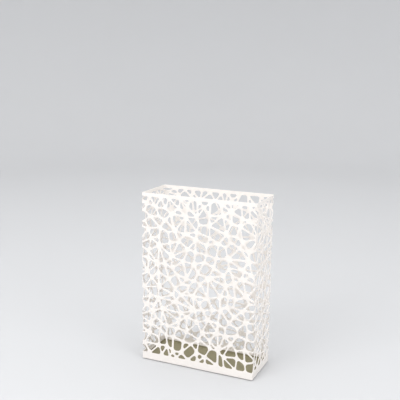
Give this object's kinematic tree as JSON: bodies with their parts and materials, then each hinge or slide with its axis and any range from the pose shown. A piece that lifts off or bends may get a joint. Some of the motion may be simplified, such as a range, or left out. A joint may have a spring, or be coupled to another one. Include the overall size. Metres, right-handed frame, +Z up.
{
  "type": "umbrella stand",
  "caption": "Slim rectangular umbrella stand: an open-topped box of cut-out sheet steel with a lift-out drip tray and rubber feet.",
  "frame": {"origin": "on the floor, midway between the four feet", "axes": "+Z up, +X along the wide front to the right, -Y out of the front"},
  "size_m": [0.29, 0.12, 0.4223],
  "materials": {
    "white_steel": "warm white powder coat, fine and slightly matt",
    "tray_plastic": "olive-grey moulded plastic, matt",
    "foot_rubber": "dark matt rubber"
  },
  "bodies": {
    "stand": {"front_panel": "white_steel", "right_panel": "white_steel", "back_panel": "white_steel", "left_panel": "white_steel", "base_pan": "white_steel", "foot_front_left": "foot_rubber", "foot_front_right": "foot_rubber", "foot_back_left": "foot_rubber", "foot_back_right": "foot_rubber"},
    "tray": {"drip_tray": "tray_plastic"}
  },
  "joints": [
    {"name": "tray_lift", "type": "slide", "parent": "stand", "child": "tray", "axis": [0, 0, 1], "range_m": [0, 0.44]}
  ]
}
